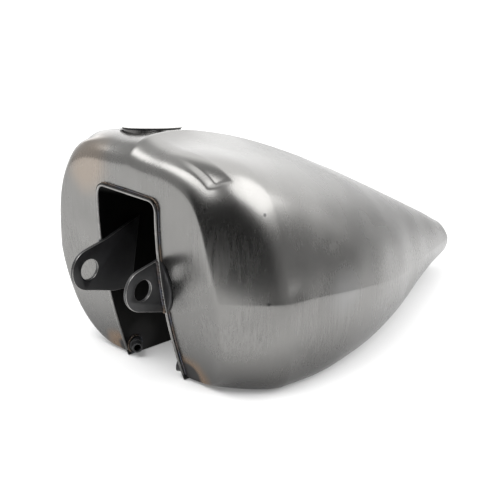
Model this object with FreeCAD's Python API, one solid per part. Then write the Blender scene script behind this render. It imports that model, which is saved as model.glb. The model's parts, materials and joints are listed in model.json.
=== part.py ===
import FreeCAD, Part
import math
import os

V = FreeCAD.Vector

# A welded sheet-steel motorcycle fuel tank. All sizes are in millimetres.
# X runs across the tank (+X is the rider's left), Y runs rearward from the top of
# the front face, and Z runs up from the surface that the tank rests on.
# Every piece is moved at export so that the front mounting axis is the origin.

# Overall body
BODY_LENGTH = 428.5        # front face to the end of the tail
HALF_WIDTH = 126.5         # widest half section
CREST_HEIGHT = 207.0       # highest point of the crest
SHEET = 1.3                # pressed body sheet
SEAM = 1.5                 # width of a ground-flush butt weld

# Front face: it leans back towards the bottom along a parabola
FACE_RECESS = 34.0         # how far the foot of the face lies behind its top
FACE_FLAT_HEIGHT = 165.0   # height above which the face is upright
FACE_FADE = 160.0          # length over which the lean dies out along the body

# Rolled front edge: how far it draws the body in at the face, and how long it is
ROLL_TOP = 22.0
ROLL_TOP_LENGTH = 30.0
ROLL_SIDE = 27.0
ROLL_SIDE_LENGTH = 60.0
ROLL_SIDE_POWER = 1.65     # 1 is a straight chamfer, more is rounder towards the rear
ROLL_FOOT = 44.0
ROLL_STEPS = 8

# Body sections from front to rear. Shares of BODY_LENGTH, CREST_HEIGHT and
# HALF_WIDTH: place, crest height, shoulder half width, widest half width, height of
# the widest point, bottom edge half width, bottom edge height. Then plain numbers:
# squareness above and below the widest point, and height of the ridge along the crest
# as a share of the shoulder half width.
SECTIONS = (
    (0.000, 0.995, 0.855, 0.975, 0.445, 0.735, 0.012, 4.8, 2.6, 0.030),
    (0.121, 1.000, 0.865, 0.988, 0.415, 0.735, 0.000, 3.9, 2.7, 0.065),
    (0.238, 0.946, 0.845, 0.997, 0.395, 0.755, 0.000, 3.1, 2.7, 0.050),
    (0.380, 0.845, 0.775, 0.960, 0.354, 0.665, 0.000, 2.6, 2.6, 0.040),
    (0.546, 0.696, 0.632, 0.798, 0.293, 0.513, 0.012, 2.3, 2.4, 0.030),
    (0.711, 0.527, 0.443, 0.550, 0.247, 0.312, 0.031, 2.1, 2.2, 0.015),
    (0.872, 0.356, 0.240, 0.305, 0.197, 0.120, 0.055, 2.0, 2.0, 0.00),
    (1.000, 0.216, 0.085, 0.110, 0.158, 0.040, 0.078, 2.0, 2.0, 0.00),
)
RIDGE_SHARE = 0.36         # half width of the crest ridge against the shoulder
SHOULDER_SHARPNESS = 8     # how late the drop beside the ridge dies out at the shoulder
UPPER_STEPS = 12
LOWER_STEPS = 9
TAIL_ROUND = 12.0          # length of the rounded tail end
TAIL_SHARE = 0.45          # size of the tail end plate against the last section
TAIL_STEPS = 4

# Frame tunnel
TUNNEL_HALF = 35.0         # half the clear width
TUNNEL_TOP = 163.0         # clear height at the front face
TUNNEL_REAR_TOP = 30.175   # clear height at the rear wall
TUNNEL_SHEET = 1.6
TUNNEL_LIP = 3.0           # how far the tunnel stands out of the front face
TUNNEL_CORNER = 7.0        # radius between roof and walls
TUNNEL_STOP = 43.5         # from the inside of the tunnel's rear wall to the tail end
TUNNEL_TAPER = 115.0       # length over which the tunnel narrows
TUNNEL_END_HALF = 4.0
FOOT_RISE_START = 190.0    # behind this the bottom edge rises to the tail
LIP_BEAD = 2.0             # width of the weld round the tunnel mouth
LIP_BEAD_HEIGHT = 1.0
TUNNEL_END = BODY_LENGTH - TUNNEL_STOP
TAPER_START = TUNNEL_END - TUNNEL_TAPER
TUNNEL_FALL = (TUNNEL_TOP - TUNNEL_REAR_TOP) / TUNNEL_END    # per millimetre rearward

# Front mounting ears
EAR_AXIS_Y = -14.5
EAR_AXIS_Z = 92.0
EAR_HOLE_RADIUS = 9.0
EAR_NOSE_RADIUS = 18.0
EAR_SHEET = 3.0
EAR_ROOT = ((5.0, 115.0), (41.0, 128.0), (32.0, 65.0), (12.0, 66.5))
FLANGE_REACH = 9.5         # reach of the half-moon flange beyond the tunnel wall
FLANGE_SHEET = 2.0

# Filler
FILLER_X = -33.0
FILLER_Y = 56.0
FILLER_LEAN_RIGHT = 8.2    # degrees
FILLER_LEAN_BACK = 6.8
NECK_BORE = 22.0
NECK_WALL = 2.5
NECK_DEPTH = 14.0
SEAL_CLEAR = 0.245         # gap between the seal and the highest part of the shell under it
GASKET_WIDTH = 3.0         # reach of the seal beyond the bore
GASKET_THICKNESS = 1.2
CAP_RIM = 5.0              # reach of the cap's flange beyond the bore
RING_STEPS = 12            # places round the seal where the shell's height is taken
CAP_THICKNESS = 2.4
CAP_GAP = 0.3
CAP_SKIRT = 9.0
CAP_WALL = 1.8
GRIP = (17.0, 3.4, 6.0)    # length, width and height of the cap's grip

# Crossover nipples: a welded base and a spigot, turned forward from square
NIPPLE_Y = 38.0
NIPPLE_Z = 9.5
NIPPLE_TURN = 30.0         # degrees
NIPPLE_BASE_RADIUS = 6.0
NIPPLE_BASE = 4.8          # length of the base from the tunnel wall
SPIGOT_RADIUS = 4.6
SPIGOT_LENGTH = 6.2
NIPPLE_BORE = 3.0
NIPPLE_BEAD = 1.2          # height of the weld on the wall
NIPPLE_BEAD_REACH = 1.6    # reach of the weld beyond the base

# Fuel outlet
OUTLET_X = 60.0
OUTLET_Y = 165.0
OUTLET_RADIUS = 13.0
OUTLET_BORE = 7.4
OUTLET_HEIGHT = 12.0
OUTLET_BEAD = 2.0

# Rear mounting bracket
TAB_FRONT = 302.0
TAB_REAR = 350.0
TAB_HOLE_Y = 332.0
TAB_HOLE_RADIUS = 4.5
TAB_HALF = 11.0
TAB_SHEET = 4.0
TAB_UNDER = 26.0
TAB_BEAD = 2.5


def face_y(z):
    """Place of the front face at a height."""
    lean = max(0.0, 1.0 - z / FACE_FLAT_HEIGHT)
    return FACE_RECESS * lean * lean


def superellipse(angle, squareness):
    """Point on a unit superellipse, measured from the vertical."""
    across = math.sin(angle)
    up = math.cos(angle)
    size = (abs(across) ** squareness + abs(up) ** squareness) ** (1.0 / squareness)
    return across / size, up / size


def station(y):
    """Body section at a place along the body, between two rows of the table."""
    share = y / BODY_LENGTH
    for ahead, behind in zip(SECTIONS, SECTIONS[1:]):
        if share <= behind[0]:
            break
    part = (share - ahead[0]) / (behind[0] - ahead[0])
    return [a + (b - a) * part for a, b in zip(ahead, behind)]


def top_roll(y):
    """Share of the front roll that is left at a place along the crest."""
    left = max(0.0, 1.0 - y / ROLL_TOP_LENGTH)
    return 1.0 - math.sqrt(1.0 - left * left)


def side_roll(y):
    """Share of the front roll that is left at a place along the sides."""
    return max(0.0, 1.0 - y / ROLL_SIDE_LENGTH) ** ROLL_SIDE_POWER


def ridge_drop(across):
    """Share of the ridge height lost at a share of the way to the shoulder."""
    left = max(0.0, 1.0 - across / RIDGE_SHARE)
    return (1.0 - left * left) * (1.0 - across ** SHOULDER_SHARPNESS)


def section(y, grow=0.0):
    """Half section from the crest to the bottom edge; grow draws it in further."""
    row = station(y)
    crest = CREST_HEIGHT * row[1] - ROLL_TOP * top_roll(y) - grow
    side = ROLL_SIDE * side_roll(y) + SEAM / 2 + grow
    shoulder = HALF_WIDTH * row[2] - side
    widest = HALF_WIDTH * row[3] - side
    wide_z = CREST_HEIGHT * row[4]
    foot = HALF_WIDTH * row[5] - ROLL_FOOT * side_roll(y) - SEAM / 2 - grow
    foot_z = CREST_HEIGHT * row[6]
    square_up, square_low, ridge = row[7:]
    points = []
    for step in range(UPPER_STEPS + 1):
        across, up = superellipse(math.pi / 2 * step / UPPER_STEPS, square_up)
        x = (shoulder + (widest - shoulder) * (1 - up)) * across
        drop = ridge * shoulder * ridge_drop(across)
        points.append((x + SEAM / 2, wide_z + (crest - wide_z) * up - drop))
    for step in range(1, LOWER_STEPS + 1):
        down, out = superellipse(math.pi / 2 * step / LOWER_STEPS, square_low)
        x = foot + (widest - foot) * out
        points.append((x + SEAM / 2, wide_z - (wide_z - foot_z) * down))
    return points


def body_row(y, grow=0.0):
    """A section placed along the body, with the lean of the front face."""
    fade = max(0.0, 1.0 - y / FACE_FADE) ** 1.5
    return [V(x, y + face_y(z) * fade, z) for x, z in section(y, grow)]


def tail_row(y):
    """A section of the rounded tail end, shrunk about its middle."""
    row = body_row(y)
    left = max(0.0, (BODY_LENGTH - y) / TAIL_ROUND)
    share = TAIL_SHARE + (1 - TAIL_SHARE) * math.sqrt(1 - (1 - left) ** 2)
    middle = (row[0].z + row[-1].z) / 2
    return [V(SEAM / 2 + (p.x - SEAM / 2) * share, y, middle + (p.z - middle) * share)
            for p in row]


def body_grid():
    """Outer half body from the front roll to the rounded tail end."""
    rows = []
    for step in range(ROLL_STEPS):
        turn = math.pi / 2 * step / ROLL_STEPS
        rows.append(body_row(ROLL_SIDE_LENGTH * (1 - math.cos(turn))))
    for row in SECTIONS[1:-1]:
        rows.append(body_row(BODY_LENGTH * row[0]))
    for step in range(TAIL_STEPS, -1, -1):
        turn = math.pi / 2 * step / TAIL_STEPS
        rows.append(tail_row(BODY_LENGTH - TAIL_ROUND * (1 - math.cos(turn))))
    return rows


def inner_grid(rows, thickness):
    """The same grid moved inward by the sheet thickness."""
    inner = []
    for i, row in enumerate(rows):
        ahead = rows[min(i + 1, len(rows) - 1)]
        behind = rows[max(i - 1, 0)]
        moved = []
        for j, point in enumerate(row):
            along = ahead[j] - behind[j]
            around = row[min(j + 1, len(row) - 1)] - row[max(j - 1, 0)]
            normal = along.cross(around)
            if j in (0, len(row) - 1):
                normal.x = 0.0
            if i == 0:
                normal = V(0, 1, 0)
            normal.normalize()
            moved.append(point + normal * thickness)
        inner.append(moved)
    return inner


def spline(points):
    curve = Part.BSplineCurve()
    curve.interpolate(points)
    return curve.toShape()


def skin(rows):
    """Smooth surface through a grid: its face and its four border edges."""
    if len(rows[0]) == 2:
        sides = [spline([row[j] for row in rows]) for j in (0, 1)]
        ends = [Part.makeLine(row[0], row[1]) for row in (rows[0], rows[-1])]
        return Part.makeRuledSurface(sides[0], sides[1]), sides + ends
    if len(rows) == 2:
        sides = [spline(row) for row in rows]
        ends = [Part.makeLine(rows[0][j], rows[1][j]) for j in (0, -1)]
        return Part.makeRuledSurface(sides[0], sides[1]), sides + ends
    surface = Part.BSplineSurface()
    surface.interpolate(rows)
    u0, u1, v0, v1 = surface.bounds()
    borders = [surface.uIso(u0), surface.uIso(u1), surface.vIso(v0), surface.vIso(v1)]
    return surface.toShape(), [curve.toShape() for curve in borders]


def sheet(outer, inner):
    """Solid between two grids."""
    outer_face, outer_edges = skin(outer)
    inner_face, inner_edges = skin(inner)
    faces = [outer_face, inner_face]
    for one, other in zip(outer_edges, inner_edges):
        faces.append(Part.makeRuledSurface(one, other))
    shell = Part.makeShell(faces)
    shell.sewShape()
    solid = Part.makeSolid(shell)
    if solid.Volume < 0:
        solid.reverse()
    return solid


def mirrored(shape):
    return shape.mirror(V(0, 0, 0), V(1, 0, 0))


def extruded(wire, way):
    return Part.Face(wire).extrude(way)


def face_edges(offset, low, high):
    """Side view of the front face moved by an offset: a parabola and a straight top."""
    foot = V(-HALF_WIDTH, FACE_RECESS + offset, 0)
    pull = V(-HALF_WIDTH, offset, FACE_FLAT_HEIGHT / 2)
    flat = V(-HALF_WIDTH, offset, FACE_FLAT_HEIGHT)
    top = V(-HALF_WIDTH, offset, high)
    lean = Part.BezierCurve()
    lean.setPoles([foot, pull, flat])
    start = V(-HALF_WIDTH, FACE_RECESS + offset, low)
    return start, top, [Part.makeLine(start, foot), lean.toShape(), Part.makeLine(flat, top)]


def face_slab(front, back):
    """Slice of space that follows the front face between two offsets from it."""
    low, high = -SHEET, 1.1 * CREST_HEIGHT
    near_start, near_top, near = face_edges(front, low, high)
    far_start, far_top, far = face_edges(back, low, high)
    edges = near + far + [Part.makeLine(near_top, far_top), Part.makeLine(near_start, far_start)]
    wire = Part.Wire(Part.__sortEdges__(edges))
    return extruded(wire, V(2 * HALF_WIDTH, 0, 0))


def foot_height(y):
    """Height of the body's bottom edge behind the flat stretch."""
    rise = CREST_HEIGHT * SECTIONS[-1][6] / (BODY_LENGTH - FOOT_RISE_START)
    return max(0.0, (y - FOOT_RISE_START) * rise)


def roof_height(y):
    return TUNNEL_TOP - TUNNEL_FALL * y


def tunnel_space(grow, low):
    """Block that fills the tunnel, grown by a wall thickness, from in front of the face."""
    half = TUNNEL_HALF + grow
    start = -FACE_RECESS
    end = TUNNEL_END + grow
    plan = [V(-half, start, 0), V(half, start, 0), V(half, TAPER_START, 0),
            V(TUNNEL_END_HALF + grow, end, 0), V(-TUNNEL_END_HALF - grow, end, 0),
            V(-half, TAPER_START, 0)]
    block = extruded(Part.makePolygon(plan + plan[:1]), V(0, 0, 2 * CREST_HEIGHT))
    block.translate(V(0, 0, -CREST_HEIGHT / 2))
    profile = [(start, low), (start, roof_height(start) + grow),
               (end, roof_height(end) + grow), (end, foot_height(end) + low),
               (FOOT_RISE_START, low)]
    points = [V(-half, y, z) for y, z in profile]
    side = extruded(Part.makePolygon(points + points[:1]), V(2 * half, 0, 0))
    middle = (start + end) / 2
    roof_middle = roof_height(middle) + grow
    corners = [e for e in side.Edges if abs(e.BoundBox.Center.y - middle) < 1
               and abs(e.BoundBox.Center.z - roof_middle) < 1]
    side = side.makeFillet(TUNNEL_CORNER + grow, corners)
    return side.common(block)


def tunnel_tool():
    """Space taken up by the tunnel and its walls, for cutting what stands round it."""
    return tunnel_space(TUNNEL_SHEET, -CREST_HEIGHT / 10)


def frame_tunnel():
    outside = tunnel_space(TUNNEL_SHEET, SHEET / 3)
    outside = outside.cut(face_slab(-4 * FACE_RECESS, -TUNNEL_LIP))
    wall = outside.cut(tunnel_space(0.0, -CREST_HEIGHT / 10))
    for side in (-1, 1):
        wall = wall.cut(nipple_base(side))
    return wall


def front_outline(grow):
    """Prism through the front seam, as seen from the front."""
    half = [V(p.x, 0, p.z) for p in body_row(0.0, grow)]
    crest = V(0, 0, half[0].z)
    left = half[::-1]
    right = [V(-p.x, 0, p.z) for p in half]
    top = spline(left + [crest] + right)
    foot = Part.makeLine(right[-1], left[0])
    prism = extruded(Part.Wire([top, foot]), V(0, 3 * FACE_RECESS, 0))
    prism.translate(V(0, -FACE_RECESS, 0))
    return prism


def front_panel():
    panel = face_slab(0.0, SHEET).common(front_outline(SEAM))
    return panel.cut(tunnel_tool())


def front_seam_weld():
    return face_slab(0.0, SHEET).common(front_outline(0.0)).cut(front_outline(SEAM))


def centre_seam_weld(outer, inner):
    """Flush weld between the two side shells, along the crest."""
    def strip(rows):
        return [[V(-row[0].x, row[0].y, row[0].z), row[0]] for row in rows]
    return sheet(strip(outer), strip(inner))


def feet(rows):
    """Points along the bottom edge, up to the rounded tail end."""
    return [row[-1] for row in rows[:-TAIL_STEPS]]


def weld_line(rows):
    """Bottom edge drawn towards the centre by the width of the seam weld."""
    return [V(max(p.x - SEAM, SEAM), p.y, p.z) for p in feet(rows)]


def raised(points):
    return [p + V(0, 0, SHEET) for p in points]


def bottom_pan(rows):
    """Flat strip between the seam weld and the middle, cut away by the tunnel."""
    outside = weld_line(rows)
    inside = [V(SEAM / 4, p.y, p.z) for p in outside]
    under = [[a, b] for a, b in zip(inside, outside)]
    over = [[a, b] for a, b in zip(raised(inside), raised(outside))]
    return sheet(under, over).cut(tunnel_tool()).cut(face_slab(-SHEET, SHEET))


def bottom_seam_weld(outer, inner):
    """Flush weld between the pan and the rim of the side shell."""
    inside = weld_line(outer)
    under = [[a, b] for a, b in zip(inside, feet(outer))]
    over = [[a, b] for a, b in zip(raised(inside), feet(inner))]
    return sheet(under, over).cut(face_slab(-SHEET, SHEET))


def tail_end_plate(inner_rows):
    """Small plate that closes the tail inside the two side shells."""
    last = [V(p.x, BODY_LENGTH, p.z) for p in inner_rows[-1]]
    loop = last[::-1] + [V(-p.x, p.y, p.z) for p in last]
    wire = Part.makePolygon(loop + loop[:1])
    return extruded(wire, V(0, -SHEET, 0))


def ear(side):
    """Mounting ear: a rounded nose with a hole, and a root inside the tunnel wall."""
    centre = V(0, EAR_AXIS_Y, EAR_AXIS_Z)
    root = [V(0, y, z) for y, z in EAR_ROOT]
    upper = tangent_point(centre, EAR_NOSE_RADIUS, root[0], 1)
    lower = tangent_point(centre, EAR_NOSE_RADIUS, root[-1], -1)
    tip = centre - V(0, EAR_NOSE_RADIUS, 0)
    corners = [upper] + root + [lower]
    edges = [Part.makeLine(a, b) for a, b in zip(corners, corners[1:])]
    edges.append(Part.Arc(lower, tip, upper).toShape())
    plate = extruded(Part.Wire(edges), V(EAR_SHEET, 0, 0))
    hole = Part.makeCylinder(EAR_HOLE_RADIUS, EAR_SHEET, centre, V(1, 0, 0))
    plate = plate.cut(hole)
    plate.translate(V(TUNNEL_HALF - EAR_SHEET, 0, 0))
    return plate if side > 0 else mirrored(plate)


def tangent_point(centre, radius, outside, turn):
    """Where a line from an outside point touches a circle in the YZ plane."""
    way = outside - centre
    angle = math.atan2(way.z, way.y) + turn * math.acos(radius / way.Length)
    return centre + V(0, math.cos(angle), math.sin(angle)) * radius


def ear_flange(side):
    """Half-moon plate on the front face that backs the ear."""
    start = side * (TUNNEL_HALF + TUNNEL_SHEET)
    top = EAR_ROOT[0][1]
    foot = EAR_ROOT[-1][1]
    ends = V(start, 0, top), V(start, 0, foot)
    middle = V(start + side * FLANGE_REACH, 0, (top + foot) / 2)
    wire = Part.Wire([Part.Arc(ends[0], middle, ends[1]).toShape(),
                      Part.makeLine(ends[1], ends[0])])
    prism = extruded(wire, V(0, 3 * FACE_RECESS, 0))
    prism.translate(V(0, -FACE_RECESS, 0))
    return face_slab(-FLANGE_SHEET, 0.0).common(prism)


def ear_weld(side):
    """Bead in the corner between an ear and the tunnel's front lip."""
    low = EAR_ROOT[-1][1] + 1
    high = EAR_ROOT[0][1] - 1
    edge = TUNNEL_HALF if side > 0 else -TUNNEL_HALF - TUNNEL_SHEET
    box = Part.makeBox(TUNNEL_SHEET, 3 * FACE_RECESS, high - low, V(edge, -FACE_RECESS, low))
    return face_slab(-TUNNEL_LIP - TUNNEL_SHEET, -TUNNEL_LIP).common(box)


def tunnel_mouth_weld():
    """Low bead on the front face round the tunnel mouth."""
    low = CREST_HEIGHT * SECTIONS[0][6] + 1
    wide = tunnel_space(TUNNEL_SHEET + LIP_BEAD, low)
    bead = face_slab(-LIP_BEAD_HEIGHT, 0.0).common(wide).cut(tunnel_tool())
    return bead.cut(ear_flange(-1)).cut(ear_flange(1))


def nipple_blank(side, radius, start, end):
    """Cylinder on a nipple's axis between two distances from the tunnel wall."""
    turn = math.radians(NIPPLE_TURN)
    axis = V(-side * math.cos(turn), -math.sin(turn), 0)
    base = V(side * TUNNEL_HALF, NIPPLE_Y, NIPPLE_Z)
    return Part.makeCylinder(radius, end - start, base + axis * start, axis)


def nipple_base(side):
    return nipple_blank(side, NIPPLE_BASE_RADIUS, -2 * NIPPLE_BASE_RADIUS, NIPPLE_BASE)


def crossover_nipple(side):
    tip = NIPPLE_BASE + SPIGOT_LENGTH
    solid = nipple_base(side).fuse(nipple_blank(side, SPIGOT_RADIUS, NIPPLE_BASE, tip))
    solid = solid.cut(nipple_blank(side, NIPPLE_BORE, -3 * NIPPLE_BASE_RADIUS, tip))
    reach = TUNNEL_HALF + TUNNEL_SHEET
    inside = Part.makeBox(2 * reach, BODY_LENGTH, CREST_HEIGHT, V(-reach, -FACE_RECESS, 0))
    return solid.common(inside)


def nipple_weld(side):
    """Bead round a nipple's base, where it leaves the tunnel wall at a slant."""
    slant = math.radians(NIPPLE_TURN)
    reach = NIPPLE_BASE_RADIUS / math.cos(slant)
    shift = NIPPLE_BEAD * math.tan(slant) / 2
    centre = V(side * TUNNEL_HALF, NIPPLE_Y - shift, NIPPLE_Z)
    cone = Part.makeCone(reach + NIPPLE_BEAD_REACH, reach + NIPPLE_BEAD_REACH - NIPPLE_BEAD,
                         NIPPLE_BEAD, centre, V(-side, 0, 0))
    return cone.cut(nipple_base(side))


def outlet_blank(radius, low, height):
    return Part.makeCylinder(radius, height, V(OUTLET_X, OUTLET_Y, low))


def fuel_outlet_bung():
    return outlet_blank(OUTLET_RADIUS, 0, OUTLET_HEIGHT).cut(
        outlet_blank(OUTLET_BORE, 0, OUTLET_HEIGHT))


def outlet_weld():
    """Bead round the bung on the inner side of the pan."""
    cone = Part.makeCone(OUTLET_RADIUS + OUTLET_BEAD, OUTLET_RADIUS, OUTLET_BEAD,
                         V(OUTLET_X, OUTLET_Y, SHEET))
    return cone.cut(outlet_blank(OUTLET_RADIUS, 0, OUTLET_HEIGHT))


def rear_mount_bracket():
    """Hat-shaped bracket under the tunnel roof with a vertical bolt hole."""
    y0, y1 = TAB_FRONT, TAB_REAR
    low, high = TAB_UNDER, TAB_UNDER + TAB_SHEET
    inner0, inner1 = y0 + TAB_SHEET, y1 - TAB_SHEET
    profile = [(y0, low), (y1, low), (y1, roof_height(y1)), (inner1, roof_height(inner1)),
               (inner1, high), (inner0, high), (inner0, roof_height(inner0)),
               (y0, roof_height(y0))]
    points = [V(-TAB_HALF, y, z) for y, z in profile]
    hat = extruded(Part.makePolygon(points + points[:1]), V(2 * TAB_HALF, 0, 0))
    hole = Part.makeCylinder(TAB_HOLE_RADIUS, TAB_SHEET, V(0, TAB_HOLE_Y, low))
    return hat.cut(hole)


def bracket_welds():
    """Beads along the two legs of the rear bracket."""
    beads = []
    for y, way in ((TAB_FRONT, -1), (TAB_REAR, 1)):
        top = roof_height(y)
        points = [V(-TAB_HALF, y, top), V(-TAB_HALF, y, top - TAB_BEAD),
                  V(-TAB_HALF, y + way * TAB_BEAD, roof_height(y + way * TAB_BEAD))]
        beads.append(extruded(Part.makePolygon(points + points[:1]), V(2 * TAB_HALF, 0, 0)))
    return Part.makeCompound(beads)


def top_height(shell, x, y):
    """Height of a shell's outer face above a point."""
    ray = Part.makeLine(V(x, y, CREST_HEIGHT / 2), V(x, y, 2 * CREST_HEIGHT))
    return ray.common(shell).BoundBox.ZMax


def filler_seat(shell):
    """Centre and outward axis of the filler on the right side shell."""
    axis = V(-math.tan(math.radians(FILLER_LEAN_RIGHT)),
             math.tan(math.radians(FILLER_LEAN_BACK)), 1.0)
    axis.normalize()
    return V(FILLER_X, FILLER_Y, top_height(shell, FILLER_X, FILLER_Y)), axis


def neck_stand(shell, seat):
    """Height of the neck's rim that lifts the seal clear of the shell all round."""
    centre, axis = seat
    across = axis.cross(V(0, 1, 0)).normalize() * (NECK_BORE + GASKET_WIDTH)
    along = axis.cross(across)
    rises = []
    for step in range(RING_STEPS):
        turn = 2 * math.pi * step / RING_STEPS
        place = centre + across * math.cos(turn) + along * math.sin(turn)
        under = V(place.x, place.y, top_height(shell, place.x, place.y))
        rises.append((under - centre).dot(axis))
    return max(rises) + SEAL_CLEAR


def filler_disc(seat, radius, low, high):
    centre, axis = seat
    return Part.makeCylinder(radius, high - low, centre + axis * low, axis)


def filler_neck(seat, stand):
    outside = filler_disc(seat, NECK_BORE + NECK_WALL, -NECK_DEPTH, stand)
    return outside.cut(filler_disc(seat, NECK_BORE, -NECK_DEPTH, stand))


def filler_gasket(seat, stand):
    top = stand + GASKET_THICKNESS
    return filler_disc(seat, NECK_BORE + GASKET_WIDTH, stand, top).cut(
        filler_disc(seat, NECK_BORE, stand, top))


def filler_cap(seat, stand):
    """Push-in cap: flange, hollow skirt and a grip."""
    low = stand + GASKET_THICKNESS
    top = low + CAP_THICKNESS
    skirt_radius = NECK_BORE - CAP_GAP
    cap = filler_disc(seat, NECK_BORE + CAP_RIM, low, top)
    cap = cap.fuse(filler_disc(seat, skirt_radius, low - CAP_SKIRT, low))
    cap = cap.cut(filler_disc(seat, skirt_radius - CAP_WALL, low - CAP_SKIRT, low))
    length, width, height = GRIP
    grip = Part.makeBox(length, width, height + CAP_WALL, V(-length / 2, -width / 2, -CAP_WALL))
    grip = grip.makeFillet(width / 3, [e for e in grip.Edges if e.BoundBox.ZLength > 1])
    centre, axis = seat
    grip.Placement = FreeCAD.Placement(centre + axis * top, FreeCAD.Rotation(V(0, 0, 1), axis))
    return cap.fuse(grip).removeSplitter()


def build_nodes():
    outer = body_grid()
    inner = inner_grid(outer, SHEET)
    left_shell = sheet(outer, inner)
    whole_right = mirrored(left_shell)
    seat = filler_seat(whole_right)
    stand = neck_stand(whole_right, seat)
    left_pan = bottom_pan(outer)
    left_bottom_weld = bottom_seam_weld(outer, inner)
    return {
        "left_side_shell": left_shell,
        "right_side_shell": whole_right.cut(
            filler_disc(seat, NECK_BORE + NECK_WALL, -NECK_DEPTH, NECK_DEPTH)),
        "front_panel": front_panel(),
        "frame_tunnel": frame_tunnel(),
        "left_bottom_pan": left_pan.cut(outlet_blank(OUTLET_RADIUS, -SHEET, OUTLET_HEIGHT)),
        "right_bottom_pan": mirrored(left_pan),
        "tail_end_plate": tail_end_plate(inner),
        "left_front_ear": ear(1),
        "right_front_ear": ear(-1),
        "left_ear_flange": ear_flange(1),
        "right_ear_flange": ear_flange(-1),
        "rear_mount_bracket": rear_mount_bracket(),
        "filler_neck": filler_neck(seat, stand),
        "filler_gasket": filler_gasket(seat, stand),
        "filler_cap": filler_cap(seat, stand),
        "left_crossover_nipple": crossover_nipple(1),
        "right_crossover_nipple": crossover_nipple(-1),
        "fuel_outlet_bung": fuel_outlet_bung(),
        "centre_seam_weld": centre_seam_weld(outer, inner),
        "front_seam_weld": front_seam_weld(),
        "bottom_seam_welds": Part.makeCompound([left_bottom_weld, mirrored(left_bottom_weld)]),
        "tunnel_mouth_weld": tunnel_mouth_weld(),
        "ear_welds": Part.makeCompound([ear_weld(1), ear_weld(-1)]),
        "nipple_welds": Part.makeCompound([nipple_weld(1), nipple_weld(-1)]),
        "outlet_weld": outlet_weld().cut(left_pan),
        "bracket_welds": bracket_welds(),
    }


def export(nodes):
    os.makedirs("parts", exist_ok=True)
    for name, shape in nodes.items():
        moved = shape.copy()
        moved.translate(V(0, -EAR_AXIS_Y, -EAR_AXIS_Z))
        moved.exportStep("parts/" + name + ".step")
        box = moved.BoundBox
        print(name, len(moved.Solids), moved.isValid(), round(moved.Volume / 1000, 2),
              [round(v, 1) for v in (box.XMin, box.XMax, box.YMin, box.YMax, box.ZMin, box.ZMax)])


export(build_nodes())
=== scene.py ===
import json
import math

import bmesh
import bpy
import numpy as np
from mathutils import Matrix, Vector
from mathutils.kdtree import KDTree


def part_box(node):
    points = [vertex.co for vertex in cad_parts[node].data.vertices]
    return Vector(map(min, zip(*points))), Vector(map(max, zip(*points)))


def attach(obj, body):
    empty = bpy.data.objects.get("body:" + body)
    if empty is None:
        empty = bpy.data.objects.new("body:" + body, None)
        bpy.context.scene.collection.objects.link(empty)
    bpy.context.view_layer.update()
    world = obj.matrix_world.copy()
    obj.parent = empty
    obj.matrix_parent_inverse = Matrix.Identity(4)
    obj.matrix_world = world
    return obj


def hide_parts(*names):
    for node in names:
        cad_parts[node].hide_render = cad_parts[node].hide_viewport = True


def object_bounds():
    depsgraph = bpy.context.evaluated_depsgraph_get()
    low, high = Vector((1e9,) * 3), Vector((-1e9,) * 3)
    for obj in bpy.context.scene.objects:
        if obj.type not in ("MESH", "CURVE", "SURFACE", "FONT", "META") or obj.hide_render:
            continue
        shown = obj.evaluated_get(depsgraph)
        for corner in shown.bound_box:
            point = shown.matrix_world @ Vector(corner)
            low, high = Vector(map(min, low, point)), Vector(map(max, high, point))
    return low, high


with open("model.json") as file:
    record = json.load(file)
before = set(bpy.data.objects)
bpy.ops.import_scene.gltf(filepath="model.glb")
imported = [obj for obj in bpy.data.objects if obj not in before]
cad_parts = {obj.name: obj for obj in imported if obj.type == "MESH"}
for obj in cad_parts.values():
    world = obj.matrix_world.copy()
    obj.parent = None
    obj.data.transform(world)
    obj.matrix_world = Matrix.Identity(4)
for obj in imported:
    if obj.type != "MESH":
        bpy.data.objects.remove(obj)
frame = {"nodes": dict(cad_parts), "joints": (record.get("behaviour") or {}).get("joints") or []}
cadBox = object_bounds()
print("frame loaded")

mm = 0.001
# sizes of the body are in millimetres from its front face and its foot
bodyOrigin = np.array([0.0, 14.5, -92.0])


# small helpers

def addNode(tree, kind, inputs=None, **settings):
    made = tree.nodes.new(kind)
    for key, value in settings.items():
        setattr(made, key, value)
    for key, value in (inputs or {}).items():
        if isinstance(value, bpy.types.NodeSocket):
            tree.links.new(value, made.inputs[key])
        else:
            made.inputs[key].default_value = value
    return made


def maths(tree, operation, *values, clamp=False):
    made = addNode(tree, "ShaderNodeMath", dict(enumerate(values)), operation=operation)
    made.use_clamp = clamp
    return made.outputs[0]


def remap(tree, value, low, high, outLow=0.0, outHigh=1.0):
    made = addNode(tree, "ShaderNodeMapRange", {
        "Value": value, "From Min": low, "From Max": high, "To Min": outLow, "To Max": outHigh},
        interpolation_type="SMOOTHSTEP")
    return made.outputs["Result"]


def blendColour(tree, factor, one, other, mode="MIX"):
    made = addNode(tree, "ShaderNodeMix", data_type="RGBA", blend_type=mode)
    for socket, value in ((made.inputs[0], factor), (made.inputs[6], one), (made.inputs[7], other)):
        if isinstance(value, bpy.types.NodeSocket):
            tree.links.new(value, socket)
        else:
            socket.default_value = value
    return made.outputs[2]


def around(tree, value, amount):
    # a noise between 0 and 1, moved to swing about zero
    return maths(tree, "MULTIPLY", maths(tree, "SUBTRACT", value, 0.5), amount)


def noise(tree, where, scale, detail, **more):
    inputs = dict({"Vector": where, "Scale": scale, "Detail": detail}, **more)
    return addNode(tree, "ShaderNodeTexNoise", inputs).outputs[0]


def greyTone(tree, value):
    channels = {0: value, 1: value, 2: value}
    return addNode(tree, "ShaderNodeCombineColor", channels).outputs[0]


def grey(level):
    return (level, level, level, 1.0)


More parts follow.
